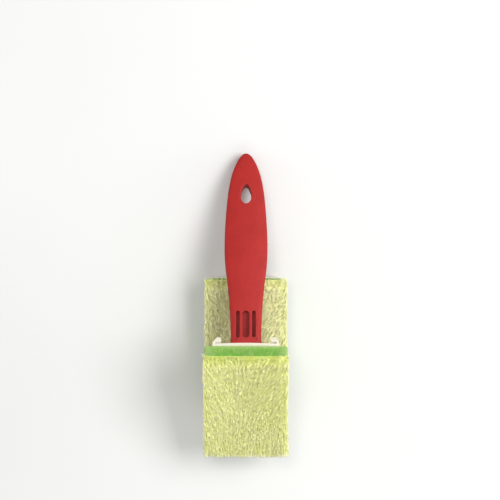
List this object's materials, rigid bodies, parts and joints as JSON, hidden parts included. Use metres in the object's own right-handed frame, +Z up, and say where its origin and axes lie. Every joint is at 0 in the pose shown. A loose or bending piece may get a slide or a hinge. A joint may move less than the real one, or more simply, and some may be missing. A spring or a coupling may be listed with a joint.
{
  "type": "paint pad edger",
  "caption": "Hand tool for painting edges and trim: a bent moulded handle whose flat foot slides into a foam-backed pile pad, with a spare pad under its neck.",
  "frame": {"origin": "middle of the base: the tool and its spare pad lie on z = 0, and x = y = 0 is under the middle of the whole box", "axes": "+Y runs up the handle to its hanging end, +X is across the pad, and +Z is up, out of the front of the tool"},
  "size_m": [0.0516, 0.1837, 0.0656],
  "materials": {
    "handle_plastic": "satin",
    "plate_plastic": "satin",
    "foam": "matte",
    "pile": "matte"
  },
  "bodies": {
    "tool_handle": {"handle": "handle_plastic"},
    "tool_pad": {"pad_plate": "plate_plastic", "pad_foam": "foam", "pad_pile": "pile"},
    "spare_pad": {"spare_plate": "plate_plastic", "spare_foam": "foam", "spare_pile": "pile"}
  },
  "joints": [
    {"name": "pad_slide", "type": "slide", "parent": "tool_handle", "child": "tool_pad", "axis": [0, -0.891, -0.454], "range_m": [0, 0.04]},
    {"name": "spare_lift_out", "type": "slide", "parent": "tool_handle", "child": "spare_pad", "axis": [1, 0, 0], "range_m": [0, 0.07]}
  ]
}
